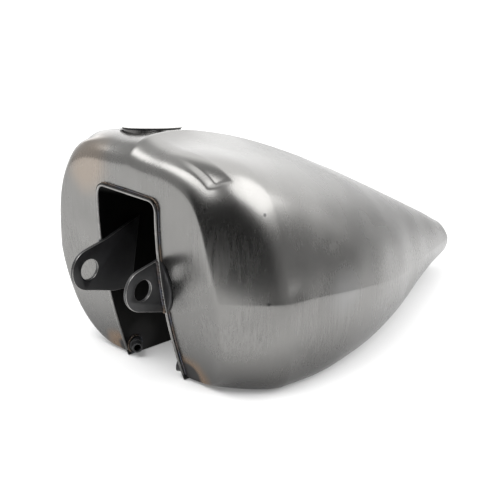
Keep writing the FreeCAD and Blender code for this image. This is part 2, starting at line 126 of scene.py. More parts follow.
def newMaterial(name):
    material = bpy.data.materials.new(name)
    material.use_nodes = True
    tree = material.node_tree
    where = addNode(tree, "ShaderNodeTexCoord").outputs["Object"]
    return material, tree, tree.nodes["Principled BSDF"], where


def addBump(tree, shader, relief, strength, height):
    bump = addNode(tree, "ShaderNodeBump", {
        "Strength": strength, "Distance": height, "Height": relief})
    tree.links.new(bump.outputs[0], shader.inputs["Normal"])


def atBody(points):
    # places on the body, from millimetres to the frame's metres
    return (np.array(points, float) + bodyOrigin) * mm


def addObject(name, data):
    made = bpy.data.objects.new(name, data)
    bpy.context.scene.collection.objects.link(made)
    return made


def meshObject(name, points, faces):
    mesh = bpy.data.meshes.new(name)
    mesh.from_pydata([tuple(p) for p in points], [], faces)
    mesh.update()
    mesh.shade_smooth()
    return addObject(name, mesh)


def applyModifiers(obj):
    depsgraph = bpy.context.evaluated_depsgraph_get()
    mesh = bpy.data.meshes.new_from_object(obj.evaluated_get(depsgraph))
    mesh.name = obj.name
    obj.modifiers.clear()
    obj.data = mesh
    return obj


# steel finishes: every pattern is laid out on object coordinates

steelLook = {
    "colour": 0.19,          # reflectance of the bare sheet
    "green": 0.985,          # of the red
    "blue": 0.955,
    "roughness": 0.27,
    "roughSpread": 0.16,     # how far the roughness wanders from patch to patch
    "cloud": 0.16,           # broad light and dark patches
    "cloudScale": 14.0,
    "grain": 0.10,
    "grainScale": 900.0,
    "brush": 0.35,           # fine upright polishing lines
    "brushScale": (520.0, 520.0, 9.0),
    "brushRough": 0.6,       # how far a dark line is smoother than a light one
    "brushRelief": 0.4,
    "brushLevel": (0.55, 0.15),    # no lines on level sheet, full lines on upright sheet
    "patchScale": 22.0,      # the lines are stronger in some patches than in others
    "patchBand": (0.38, 0.62),
    "patchLow": 0.25,
    "bump": 0.10,
    "bumpHeight": 0.0004,
    "footShade": 0.4,        # painted shade: the colour is darkened towards the foot, dimming the sheet's reflections there
    "footLow": -0.092,
    "footHigh": -0.030,
    "stainEdge": 0.022,      # unevenness of a stain's outline
}


def place(x, y, z):
    return tuple(atBody((x, y, z)))


def stainMask(tree, where, centre, radius, soft, wobble):
    # 1 near a point and 0 beyond its radius, with an uneven edge
    apart = addNode(tree, "ShaderNodeVectorMath", {0: where, 1: centre}, operation="DISTANCE")
    uneven = maths(tree, "ADD", apart.outputs["Value"], wobble)
    return remap(tree, uneven, radius * mm, radius * soft * mm, 0.0, 1.0)


def brushLines(tree, lines, patchy, look):
    # polishing lines, fading out where the sheet lies level and between patches
    turned = addNode(tree, "ShaderNodeSeparateXYZ",
                     {0: addNode(tree, "ShaderNodeNewGeometry").outputs["Normal"]})
    upright = remap(tree, maths(tree, "ABSOLUTE", turned.outputs["Z"]), *look["brushLevel"])
    patches = remap(tree, patchy, *look["patchBand"], look["patchLow"], 1.0)
    brushed = maths(tree, "MULTIPLY", upright, patches)
    return maths(tree, "MULTIPLY", around(tree, lines, brushed), look["brush"])


# painted shade: a darker colour towards the tank's foot
def paintedShadeToFoot(tree, where, look):
    height = addNode(tree, "ShaderNodeSeparateXYZ", {0: where}).outputs["Z"]
    fade = remap(tree, height, look["footLow"], look["footHigh"], look["footShade"], 1.0)
    return greyTone(tree, fade)


def steelMaterial(name, stains=(), **changes):
    look = dict(steelLook, **changes)
    material, tree, shader, where = newMaterial(name)
    cloud = noise(tree, where, look["cloudScale"], 4.0, Roughness=0.55, Distortion=0.6)
    grain = noise(tree, where, look["grainScale"], 3.0, Roughness=0.7)
    patchy = noise(tree, where, look["patchScale"], 3.0)
    stretched = addNode(tree, "ShaderNodeMapping", {"Vector": where, "Scale": look["brushScale"]})
    lines = noise(tree, stretched.outputs[0], 1.0, 4.0, Roughness=0.65)
    lineShade = brushLines(tree, lines, patchy, look)

    level = maths(tree, "ADD", around(tree, cloud, look["cloud"]),
                  around(tree, grain, look["grain"]))
    level = maths(tree, "ADD", level, lineShade)
    level = maths(tree, "MULTIPLY_ADD", level, 2.0 * look["colour"], look["colour"])
    tone = addNode(tree, "ShaderNodeCombineColor", {
        0: level, 1: maths(tree, "MULTIPLY", level, look["green"]),
        2: maths(tree, "MULTIPLY", level, look["blue"])}).outputs[0]
    # painted shade: the colour is darkened towards the foot
    tone = blendColour(tree, 1.0, tone, paintedShadeToFoot(tree, where, look), "MULTIPLY")

    roughness = maths(tree, "ADD", look["roughness"], around(tree, patchy, look["roughSpread"]))
    roughness = maths(tree, "ADD", roughness,
                      maths(tree, "MULTIPLY", lineShade, look["brushRough"]))

    wobble = around(tree, patchy, look["stainEdge"])
    metal = 1.0
    for stain in stains:
        mask = stainMask(tree, where, stain["centre"], stain["radius"], stain.get("soft", 0.4),
                         maths(tree, "MULTIPLY", wobble, stain.get("wobble", 1.0)))
        mask = maths(tree, "MULTIPLY", mask, stain.get("strength", 1.0))
        tone = blendColour(tree, mask, tone, stain["colour"])
        if "roughness" in stain:
            rougher = stain["roughness"] - look["roughness"]
            roughness = maths(tree, "ADD", roughness, maths(tree, "MULTIPLY", mask, rougher))
        if "dull" in stain:
            metal = maths(tree, "SUBTRACT", metal, maths(tree, "MULTIPLY", mask, stain["dull"]))
    tree.links.new(tone, shader.inputs["Base Color"])
    tree.links.new(maths(tree, "ADD", roughness, 0.0, clamp=True), shader.inputs["Roughness"])
    if isinstance(metal, bpy.types.NodeSocket):
        tree.links.new(metal, shader.inputs["Metallic"])
    else:
        shader.inputs["Metallic"].default_value = 1.0
    relief = maths(tree, "MULTIPLY_ADD", lines, look["brushRelief"], grain)
    addBump(tree, shader, relief, look["bump"], look["bumpHeight"])
    return material


weldLook = {
    "straw": (0.20, 0.13, 0.08, 1.0),
    "blue": (0.09, 0.11, 0.17, 1.0),
    "patchScale": 60.0,
    "patchBand": (0.40, 0.62),
    "scaleScale": 1400.0,    # the fine scaly grain
    "pitBand": (0.45, 0.75),
    "pitMix": 0.5,
    "pitShade": 0.25,
    "roughBand": (0.3, 0.7),
    "roughness": (0.30, 0.55),
    "bump": 0.35,
    "bumpHeight": 0.0003,
}


def weldMaterial(name, colour, tint):
    # welded metal: scaly, with straw and blue heat colours in patches
    material, tree, shader, where = newMaterial(name)
    patch = noise(tree, where, weldLook["patchScale"], 3.0)
    scale = noise(tree, where, weldLook["scaleScale"], 4.0)
    patches = remap(tree, patch, *weldLook["patchBand"])
    heat = blendColour(tree, patches, weldLook["straw"], weldLook["blue"])
    tone = blendColour(tree, tint, grey(colour), heat)
    pits = remap(tree, scale, *weldLook["pitBand"], 0.0, weldLook["pitMix"])
    tone = blendColour(tree, pits, tone, grey(colour * weldLook["pitShade"]))
    tree.links.new(tone, shader.inputs["Base Color"])
    uneven = remap(tree, scale, *weldLook["roughBand"], *weldLook["roughness"])
    tree.links.new(uneven, shader.inputs["Roughness"])
    shader.inputs["Metallic"].default_value = 1.0
    addBump(tree, shader, scale, weldLook["bump"], weldLook["bumpHeight"])
    return material


coatLook = {
    "patchScale": 45.0,
    "patchBand": (0.35, 0.65),
    "grainBand": (0.3, 0.7),
    "smoother": 0.07,        # the roughness wanders this far down
    "rougher": 0.1,          # and this far up
    "bumpHeight": 0.0002,
}


def coatedMaterial(name, colour, roughness, speck=0.25, grainScale=700.0, bump=0.15):
    # blackened steel, moulded plastic or rubber
    material, tree, shader, where = newMaterial(name)
    patch = noise(tree, where, coatLook["patchScale"], 4.0)
    grain = noise(tree, where, grainScale, 3.0, Roughness=0.6)
    lighter = tuple(min(1.0, c * (1.0 + speck)) for c in colour) + (1.0,)
    darker = tuple(c * (1.0 - speck) for c in colour) + (1.0,)
    tone = blendColour(tree, remap(tree, patch, *coatLook["patchBand"]), darker, lighter)
    tree.links.new(tone, shader.inputs["Base Color"])
    uneven = remap(tree, grain, *coatLook["grainBand"],
                   roughness - coatLook["smoother"], roughness + coatLook["rougher"])
    tree.links.new(uneven, shader.inputs["Roughness"])
    addBump(tree, shader, grain, bump, coatLook["bumpHeight"])
    return material


burnt = (0.010, 0.009, 0.009, 1.0)
straw = (0.20, 0.125, 0.07, 1.0)
scorch = {"colour": burnt, "roughness": 0.6, "dull": 0.8}


def spot(x, y, z, radius, level, strength=0.8, soft=0.3, **more):
    return dict({"centre": place(x, y, z), "radius": radius, "soft": soft,
                 "colour": grey(level), "strength": strength}, **more)


# heat colour and soot round the nipples and the near ear, a straw patch on the front top,
# a rubbed patch and specks on the left side, and the rough end of the tail
bodyStains = (
    {"centre": place(42, 36, 6), "radius": 30, "soft": 0.55, "colour": straw, "strength": 0.75},
    dict(scorch, centre=place(40, 36, 8), radius=19, soft=0.7),
    {"centre": place(-42, 36, 6), "radius": 26, "soft": 0.5, "colour": straw, "strength": 0.75},
    dict(scorch, centre=place(-38, 36, 8), radius=13, soft=0.6),
    spot(46, 6, 92, 24, 0.08, strength=0.55, soft=0.2),
    {"centre": place(-52, 2, 178), "radius": 34, "soft": 0.3, "colour": (0.34, 0.27, 0.21, 1.0),
     "strength": 0.45},
    spot(125, 132, 78, 30, 0.30, strength=0.5, soft=0.1, roughness=0.42),
    spot(0, 432, 40, 34, 0.34, strength=0.7, soft=0.5, roughness=0.5),
    spot(119, 44, 89, 2.2, 0.05, wobble=0.1),
    spot(108, 48, 160, 1.8, 0.06, wobble=0.1),
    spot(84, 6, 168, 2.0, 0.07, wobble=0.1),
    spot(90, 194, 118, 2.4, 0.08, wobble=0.15),
    spot(94, 176, 122, 1.6, 0.08, wobble=0.1),
    spot(86, 208, 113, 1.9, 0.08, wobble=0.1),
    spot(20, 392, 55, 5.0, 0.10, strength=0.6, soft=0.2, wobble=0.3),
)
steel = steelMaterial("bareSteel", bodyStains)
panSteel = steelMaterial("panSteel", colour=0.18, roughness=0.36)
tipSteel = steelMaterial("tipSteel", roughness=0.42, grain=0.5, cloud=0.4, bump=0.5)
tunnelStains = (
    dict(scorch, centre=place(36, 44, 14), radius=26, soft=0.3),
    dict(scorch, centre=place(-36, 44, 14), radius=24, soft=0.3),
)
# painted shade: the tunnel's sheet is given a nearly black colour for the shade inside the narrow
# tunnel; the scorch stains on it are real
tunnelPaintedShade = steelMaterial("tunnelPaintedShade", tunnelStains, colour=0.028, roughness=0.42, cloud=0.5)
machined = steelMaterial("machinedSteel", colour=0.34, roughness=0.22, cloud=0.06, brush=0.1)
seamWeld = steelMaterial("groundWeld", bodyStains, grain=0.22)
freshWeld = weldMaterial("freshWeld", colour=0.20, tint=0.35)
blackWeld = weldMaterial("sootyWeld", colour=0.07, tint=0.35)
blackSteel = coatedMaterial("blackenedSteel", (0.012, 0.012, 0.013), roughness=0.38)
wornEdge = steelMaterial("wornEdge", colour=0.30, roughness=0.35, grain=0.6)
lipSteel = steelMaterial("groundLip", colour=0.26, roughness=0.34, grain=0.3, cloud=0.3)
rubber = coatedMaterial("sealRubber", (0.015, 0.015, 0.015), roughness=0.6)
whitePlastic = coatedMaterial("whitePlastic", (0.82, 0.82, 0.80), roughness=0.33,
                              speck=0.03, grainScale=900.0, bump=0.05)
print("finishes ready")


# the pressed body: half sections from front to rear, sizes in millimetres
body = {
    "length": 428.5,
    "halfWidth": 126.5,
    "height": 207.0,
    "sheet": 1.3,
    "seam": 1.5,
    "faceRecess": 34.0,
    "faceFlat": 165.0,
    "faceFade": 160.0,
    "fadePower": 1.5,
    "rollTop": 22.0,
    "rollTopLength": 30.0,
    "rollSide": 27.0,
    "rollSideLength": 60.0,
    "rollSidePower": 1.65,
    "rollFoot": 44.0,
    "ridgeShare": 0.36,
    "ridgePower": 8,
    "tailRound": 12.0,
    "tailShare": 0.45,
    "tailRun": 1.5,          # the tail's rows start this many roundings before the end
    # share of length; crest, shoulder, widest, widest height, foot, foot height; squareness
    # above and below the widest point; ridge along the crest
    "sections": (
        (0.000, 0.995, 0.855, 0.975, 0.445, 0.735, 0.012, 4.8, 2.6, 0.030),
        (0.121, 1.000, 0.865, 0.988, 0.415, 0.735, 0.000, 3.9, 2.7, 0.065),
        (0.238, 0.946, 0.845, 0.997, 0.395, 0.755, 0.000, 3.1, 2.7, 0.050),
        (0.380, 0.845, 0.775, 0.960, 0.354, 0.665, 0.000, 2.6, 2.6, 0.040),
        (0.546, 0.696, 0.632, 0.798, 0.293, 0.513, 0.012, 2.3, 2.4, 0.030),
        (0.711, 0.527, 0.443, 0.550, 0.247, 0.312, 0.031, 2.1, 2.2, 0.015),
        (0.872, 0.356, 0.240, 0.305, 0.197, 0.120, 0.055, 2.0, 2.0, 0.000),
        (1.000, 0.216, 0.085, 0.110, 0.158, 0.040, 0.078, 2.0, 2.0, 0.000),
    ),
    "upperSteps": 128,
    "lowerSteps": 44,
    "rollRows": 56,
    "bodyRows": 110,
    "tailRows": 12,
    "faceRows": 14,
    "rollSteps": 240,        # fine steps from which even rows are picked
    "mouthSteps": 600,
    "rimDistances": (1.5, 3.0, 4.5, 6.0, 8.0, 10.5),
}
tunnel = {
    "half": 35.0,
    "top": 163.0,
    "foot": 2.484,
    "sheet": 1.6,
    "corner": 7.0,
    "cornerSteps": 12,
    "lip": 3.0,
}


def splineThrough(places, values):
    # natural cubic through the rows of a table, as a function of the place
    places = np.array(places, float)
    values = np.array(values, float)
    count = len(places)
    gap = np.diff(places)
    system = np.eye(count)
    right = np.zeros_like(values)
    for i in range(1, count - 1):
        system[i, i - 1:i + 2] = gap[i - 1], 2 * (gap[i - 1] + gap[i]), gap[i]
        right[i] = 6 * ((values[i + 1] - values[i]) / gap[i]
                        - (values[i] - values[i - 1]) / gap[i - 1])
    bend = np.linalg.solve(system, right)

    def at(place):
        i = int(np.clip(np.searchsorted(places, place) - 1, 0, count - 2))
        a = (places[i + 1] - place) / gap[i]
        b = 1 - a
        return (a * values[i] + b * values[i + 1]
                + ((a ** 3 - a) * bend[i] + (b ** 3 - b) * bend[i + 1]) * gap[i] ** 2 / 6)
    return at


sectionTable = np.array(body["sections"])
sectionAt = splineThrough(sectionTable[:, 0], sectionTable[:, 1:])


def faceY(z):
    return body["faceRecess"] * np.maximum(0.0, 1.0 - z / body["faceFlat"]) ** 2


def superellipse(angle, squareness):
    across, up = np.sin(angle), np.cos(angle)
    size = (np.abs(across) ** squareness + np.abs(up) ** squareness) ** (1.0 / squareness)
    return across / size, up / size


def halfSection(y):
    # outer half section of the body as rows of x, y, z from crest to foot
    crest, shoulder, widest, wideZ, foot, footZ, squareUp, squareLow, ridge = sectionAt(
        y / body["length"])
    leftTop = max(0.0, 1.0 - y / body["rollTopLength"])
    topRoll = 1.0 - math.sqrt(1.0 - leftTop * leftTop)
    sideRoll = max(0.0, 1.0 - y / body["rollSideLength"]) ** body["rollSidePower"]
    side = body["rollSide"] * sideRoll + body["seam"] / 2
    crest = body["height"] * crest - body["rollTop"] * topRoll
    shoulder = body["halfWidth"] * shoulder - side
    widest = body["halfWidth"] * widest - side
    wideZ *= body["height"]
    foot = body["halfWidth"] * foot - body["rollFoot"] * sideRoll - body["seam"] / 2
    footZ = max(0.0, footZ) * body["height"]

    across, up = superellipse(np.linspace(0, math.pi / 2, body["upperSteps"] + 1), squareUp)
    left = np.maximum(0.0, 1.0 - across / body["ridgeShare"])
    drop = ridge * shoulder * (1.0 - left * left) * (1.0 - across ** body["ridgePower"])
    upperX = (shoulder + (widest - shoulder) * (1 - up)) * across
    upperZ = wideZ + (crest - wideZ) * up - drop
    down, out = superellipse(np.linspace(0, math.pi / 2, body["lowerSteps"] + 1)[1:], squareLow)
    lowerX = foot + (widest - foot) * out
    lowerZ = wideZ - (wideZ - footZ) * down
    x = np.concatenate([upperX, lowerX]) + body["seam"] / 2
    z = np.concatenate([upperZ, lowerZ])
    fade = max(0.0, 1.0 - y / body["faceFade"]) ** body["fadePower"]
    return np.stack([x, y + faceY(z) * fade, z], axis=1)


def tailSection(y):
    row = halfSection(y)
    left = max(0.0, (body["length"] - y) / body["tailRound"])
    share = body["tailShare"] + (1 - body["tailShare"]) * math.sqrt(1 - (1 - left) ** 2)
    middle = (row[0, 2] + row[-1, 2]) / 2
    row[:, 0] = body["seam"] / 2 + (row[:, 0] - body["seam"] / 2) * share
    row[:, 1] = y
    row[:, 2] = middle + (row[:, 2] - middle) * share
    return row


def mouthPath(grow, count):
    # half outline of the tunnel mouth on the front face, from top centre to foot
    half = tunnel["half"] + grow
    top = tunnel["top"] + grow
    corner = tunnel["corner"] + grow
    bend = [(half - corner + corner * math.sin(a), top - corner + corner * math.cos(a))
            for a in np.linspace(0, math.pi / 2, tunnel["cornerSteps"])]
    path = np.array([(0.0, top)] + bend + [(half, tunnel["foot"])])
    along = np.concatenate([[0], np.cumsum(np.hypot(*np.diff(path, axis=0).T))])
    at = np.linspace(0, along[-1], count)
    return np.stack([np.interp(at, along, path[:, 0]), np.interp(at, along, path[:, 1])], axis=1)


def arcShares(points):
    steps = np.linalg.norm(np.diff(points, axis=0), axis=1)
    along = np.concatenate([[0], np.cumsum(steps)])
    return along / along[-1]


def faceRows(rim):
    # rows across the front face, from the tunnel mouth to the rim
    shares = arcShares(rim[:, [0, 2]])
    dense = mouthPath(tunnel["sheet"], body["mouthSteps"])
    even = np.linspace(0, 1, len(dense))
    mouth = np.stack([np.interp(shares, even, dense[:, k]) for k in (0, 1)], axis=1)
    outline = rim[:, [0, 2]]
    width = np.linalg.norm(outline - mouth, axis=1)
    last = body["rimDistances"][-1]
    rows = []
    for share in np.linspace(0, 1, body["faceRows"])[:-1]:
        rows.append(share * (width - last) / width)
    for distance in body["rimDistances"][::-1]:
        rows.append(1 - distance / width)
    made = []
    for part in rows:
        flat = mouth + (outline - mouth) * part[:, None]
        made.append(np.stack([flat[:, 0], faceY(flat[:, 1]), flat[:, 1]], axis=1))
    return made


def rollRows():
    # rows over the front roll, evenly spaced along the sheet in every column
    turns = np.linspace(0, math.pi / 2, body["rollSteps"])
    dense = np.array([halfSection(body["rollSideLength"] * (1 - math.cos(t))) for t in turns])
    steps = np.linalg.norm(np.diff(dense, axis=0), axis=2)
    along = np.concatenate([np.zeros((1, dense.shape[1])), np.cumsum(steps, axis=0)])
    rows = np.empty((body["rollRows"],) + dense.shape[1:])
    for j in range(dense.shape[1]):
        at = np.linspace(0, along[-1, j], body["rollRows"] + 1)[:-1]
        for k in range(3):
            rows[:, j, k] = np.interp(at, along[:, j], dense[:, j, k])
    return list(rows)


def bodyGrid():
    # the left half of the tank's skin: face rows first, then the body to the tail
    rows = rollRows()
    tailStart = body["length"] - body["tailRound"] * body["tailRun"]
    for y in np.linspace(body["rollSideLength"], tailStart, body["bodyRows"]):
        rows.append(halfSection(y))
    for i in range(body["tailRows"], -1, -1):
        turn = math.pi / 2 * i / body["tailRows"]
        rows.append(tailSection(body["length"] - body["tailRound"] * (1 - math.cos(turn))))
    face = faceRows(rows[0])
    return np.array(face + rows), len(face)


def softenCrease(grid, rim, reach, rounds):
    # rounds the edge between the face and the body, where the sheet was dressed
    for _ in range(rounds):
        middle = (grid[:-2] + grid[2:]) / 2
        for i in range(rim - reach, rim + reach + 1):
            weight = 0.5 * (1 - abs(i - rim) / (reach + 1))
            grid[i] += weight * (middle[i - 1] - grid[i])
    return grid


def gridNormals(grid, side):
    # outward normals; along the crest they stay upright, so both halves meet smoothly
    along = np.gradient(grid, axis=0)
    around = np.gradient(grid, axis=1)
    normal = np.cross(around, along) * side
    normal[:, 0, 0] = 0.0
    length = np.linalg.norm(normal, axis=2, keepdims=True)
    return normal / np.maximum(length, 1e-9)


# hand work on the sheet: a fold pinched in behind each end of the front roll, slow waves
# and a few dings. Places are in millimetres on the body
fold = {
    "start": (36.0, 15.0),        # the valley's floor runs from here, seen from above
    "end": (87.0, 20.0),          # to the corner, where it is deepest
    "depth": 3.6,
    "front": 9.0,                 # reach of the slope up to the roll
    "back": 12.0,                 # reach of the slope up to the top
    "edge": ((82.5, 9.0), (88.5, 29.0)),    # the crease that ends the valley
    "wall": 3.5,
    "low": 160.0,                 # below this height there is no fold
    "lowFade": 8.0,
}
dings = (
    {"centre": (112.0, 120.0, 120.0), "radius": 5.0, "depth": 0.5},
    {"centre": (122.0, 70.0, 92.0), "radius": 9.0, "depth": 0.5},
    {"centre": (-104.0, 150.0, 118.0), "radius": 8.0, "depth": 0.6},
)
waves = {
    "seed": 7,
    "height": 0.22,
    "length": 62.0,
    "spread": (0.55, 1.6),        # shortest and longest wave, of the length
    "count": 14,
    "turn": 6.28,                 # each wave starts somewhere in its first turn
}
# hand work dies out in the last rows, so that neighbours still meet
quietRows = {
    "foot": np.linspace(0.6, 0.0, 4),
    "mouth": np.linspace(0.0, 0.75, 4),
    "tail": np.linspace(1.0, 0.0, 6),
}


def smooth(value):
    share = np.clip(value, 0.0, 1.0)
    return share * share * (3 - 2 * share)


def foldDepth(points):
    start, end = np.array(fold["start"]), np.array(fold["end"])
    way = end - start
    length = np.linalg.norm(way)
    way /= length
    plan = np.stack([np.abs(points[..., 0]), points[..., 1]], axis=-1) - start
    share = smooth((plan @ way) / length)
    behind = plan @ np.array([-way[1], way[0]])
    slope = np.where(behind < 0, smooth(1 + behind / fold["front"]),
                     np.clip(1 - behind / fold["back"], 0, 1))
    near, far = (np.array(p) - start for p in fold["edge"])
    crease = (far - near) / np.linalg.norm(far - near)
    beyond = (plan - near) @ np.array([crease[1], -crease[0]])
    inside = smooth(-beyond / fold["wall"])
    high = smooth((points[..., 2] - fold["low"]) / fold["lowFade"])
    return fold["depth"] * share * slope * inside * high


def waveHeight(points):
    # slow unevenness of hammered and stretched sheet
    rng = np.random.default_rng(waves["seed"])
    total = np.zeros(points.shape[:-1])
    for _ in range(waves["count"]):
        way = rng.normal(size=3)
        way /= np.linalg.norm(way)
        length = waves["length"] * rng.uniform(*waves["spread"])
        total += np.sin(points @ way * 2 * math.pi / length + rng.uniform(0, waves["turn"]))
    return waves["height"] * total / math.sqrt(waves["count"])


def handWork(half, side):
    depth = foldDepth(half) - waveHeight(half)
    for ding in dings:
        apart = np.linalg.norm(half - np.array(ding["centre"]), axis=-1)
        depth = depth + ding["depth"] * np.exp(-(apart / ding["radius"]) ** 2)
    foot, mouth, tail = (quietRows[key] for key in ("foot", "mouth", "tail"))
    depth[:, -len(foot):] *= foot
    depth[:len(mouth)] *= mouth[:, None]
    depth[-len(tail):] *= tail[:, None]
    return half - gridNormals(half, side) * depth[..., None]


def finishedSkin(side):
    half = handWork(grid * (side, 1, 1), side)
    return half, gridNormals(half, side)


sameWay = 0.5    # faces turned further than this from the skin keep their own shading


def keepNormals(made, points, normals):
    # shades a piece's outer face from the whole skin, so that neighbours show no step
    tree = KDTree(len(points))
    for index, point in enumerate(points):
        tree.insert(point, index)
    tree.balance()
    mesh = made.data
    nearest = [normals[tree.find(v.co)[1]] for v in mesh.vertices]
    split = []
    for polygon in mesh.polygons:
        own = np.array(polygon.normal)
        for vertex in polygon.vertices:
            wanted = nearest[vertex]
            outer = own @ wanted > sameWay
            split.append(tuple(wanted) if outer else (0.0, 0.0, 0.0))
    mesh.normals_split_custom_set(split)


def gridPiece(name, rows, material, side, hole=None):
    # a stretch of the skin with the sheet's thickness inward; rows are (points, normals)
    places, normals = rows
    count, across = places.shape[:2]
    points = atBody(places.reshape(-1, 3))
    faces = []
    for i in range(count - 1):
        for j in range(across - 1):
            a = i * across + j
            quad = (a, a + 1, a + across + 1, a + across)
            faces.append(quad if side > 0 else quad[::-1])
    made = meshObject(name, points, faces)
    made.data.materials.append(material)
    thick = made.modifiers.new("sheet", "SOLIDIFY")
    thick.thickness = body["sheet"] * mm
    thick.offset = -1.0
    applyModifiers(made)
    if hole:
        cutCylinder(made, **hole)
    keepNormals(made, points, normals.reshape(-1, 3))
    return made


grid, rimRow = bodyGrid()
grid = softenCrease(grid, rimRow, reach=2, rounds=5)
skins = {side: finishedSkin(side) for side in (1, -1)}
print("skin worked out:", grid.shape)


def rowsOf(side, start=None, stop=None, columns=slice(None), centre=False):
    # part of one half of the skin, with or without a column on the centre plane
    found = [part[start:stop, columns] for part in skins[side]]
    if centre:
        other = [part[start:stop, :1] for part in skins[-side]]
        middle = [(a[:, :1] + b) / 2 for a, b in zip(found, other)]
        found = [np.concatenate([m, a], axis=1) for m, a in zip(middle, found)]
    return found


def cutCylinder(target, centre, axis, radius, length, segments):
    cutter = bmesh.new()
    turn = Vector((0, 0, 1)).rotation_difference(Vector(axis)).to_matrix().to_4x4()
    bmesh.ops.create_cone(cutter, cap_ends=True, segments=segments, radius1=radius,
                          radius2=radius, depth=length,
                          matrix=Matrix.Translation(centre) @ turn)
    mesh = bpy.data.meshes.new("cutter")
    cutter.to_mesh(mesh)
    cutter.free()
    tool = addObject("cutter", mesh)
    hole = target.modifiers.new("hole", "BOOLEAN")
    hole.operation = "DIFFERENCE"
    hole.solver = "EXACT"
    hole.object = tool
    applyModifiers(target)
    bpy.data.objects.remove(tool)


capTurn = next(j for j in frame["joints"] if j["name"] == "cap_turn")
neckLow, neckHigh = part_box("filler_neck")
fillerHole = {
    "centre": (neckLow + neckHigh) / 2,
    "axis": Vector(capTurn["axis"]),
    "radius": 24.6 * mm,
    "length": 60 * mm,
    "segments": 96,
}

for side, name, hole in ((1, "left", None), (-1, "right", fillerHole)):
    shell = gridPiece(name + "SideShell", rowsOf(side, rimRow), steel, side, hole)
    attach(shell, "tank")
    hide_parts(name + "_side_shell")
print("side shells made")


def bothHalves(name, material, start, stop, columns):
    # one sheet across the centre plane, from a left and a right half
    halves = [gridPiece(name, rowsOf(side, start, stop, columns, True), material, side)
              for side in (1, -1)]
    bpy.ops.object.select_all(action="DESELECT")
    for half in halves:
        half.select_set(True)
    bpy.context.view_layer.objects.active = halves[0]
    bpy.ops.object.join()
    halves[0].name = name
    return halves[0]


for made, node, slot in (
        (bothHalves("frontPanel", steel, None, rimRow, slice(None)), "front_panel", "bare_steel"),
        (bothHalves("frontSeam", seamWeld, rimRow - 1, rimRow + 1, slice(None)),
         "front_seam_weld", "weld_steel"),
        (bothHalves("crestSeam", seamWeld, rimRow, None, slice(0, 1)),
         "centre_seam_weld", "weld_steel")):
    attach(made, "tank")
    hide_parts(node)
print("front panel and ground seams made")


# rippled weld beads, laid along a path by geometry nodes

ripple = {
    "steps": 6.0,            # along each ripple
    "lean": 1.6,             # how suddenly a ripple ends
    "noiseScale": 260.0,
    "sides": 10,
}


def beadTree():
    tree = bpy.data.node_groups.new("weldBead", "GeometryNodeTree")
    face = tree.interface
    face.new_socket("Geometry", in_out="INPUT", socket_type="NodeSocketGeometry")
    for label, value in (("Radius", 0.001), ("Ripple pitch", 0.0015), ("Ripple depth", 0.25),
                         ("Unevenness", 0.2)):
        socket = face.new_socket(label, in_out="INPUT", socket_type="NodeSocketFloat")
        socket.default_value = value
    face.new_socket("Material", in_out="INPUT", socket_type="NodeSocketMaterial")
    face.new_socket("Geometry", in_out="OUTPUT", socket_type="NodeSocketGeometry")
    given = addNode(tree, "NodeGroupInput").outputs
    curve = addNode(tree, "GeometryNodeMeshToCurve", {"Mesh": given["Geometry"]})
    step = maths(tree, "DIVIDE", given["Ripple pitch"], ripple["steps"])
    fine = addNode(tree, "GeometryNodeResampleCurve",
                   {"Curve": curve.outputs[0], "Length": step}, mode="LENGTH")
    along = addNode(tree, "GeometryNodeSplineParameter").outputs["Length"]
    turns = maths(tree, "DIVIDE", along, given["Ripple pitch"])
    saw = maths(tree, "FRACT", turns)
    scallop = maths(tree, "MULTIPLY", maths(tree, "POWER", saw, ripple["lean"]),
                    given["Ripple depth"])
    lumps = addNode(tree, "ShaderNodeTexNoise", {"Scale": ripple["noiseScale"], "Detail": 2.0})
    uneven = around(tree, lumps.outputs[0], given["Unevenness"])
    share = maths(tree, "ADD", maths(tree, "SUBTRACT", 1.0, scallop), uneven)
    radius = maths(tree, "MULTIPLY", share, given["Radius"])
    ring = addNode(tree, "GeometryNodeCurvePrimitiveCircle",
                   {"Resolution": ripple["sides"], "Radius": 1.0})
    tube = addNode(tree, "GeometryNodeCurveToMesh", {
        "Curve": fine.outputs[0], "Profile Curve": ring.outputs[0], "Fill Caps": True})
    if "Scale" in tube.inputs:
        tree.links.new(radius, tube.inputs["Scale"])
    else:
        wide = addNode(tree, "GeometryNodeSetCurveRadius",
                       {"Curve": fine.outputs[0], "Radius": radius})
        tree.links.new(wide.outputs[0], tube.inputs["Curve"])
    shaded = addNode(tree, "GeometryNodeSetShadeSmooth", {0: tube.outputs[0]})
    real = addNode(tree, "GeometryNodeRealizeInstances", {0: shaded.outputs[0]})
    done = addNode(tree, "GeometryNodeSetMaterial", {
        "Geometry": real.outputs[0], "Material": given["Material"]})
    addNode(tree, "NodeGroupOutput", {0: done.outputs[0]})
    return tree


weldBead = beadTree()


def setInputs(modifier, **values):
    for item in modifier.node_group.interface.items_tree:
        if item.in_out == "INPUT" and item.name.replace(" ", "") in values:
            modifier[item.identifier] = values[item.name.replace(" ", "")]


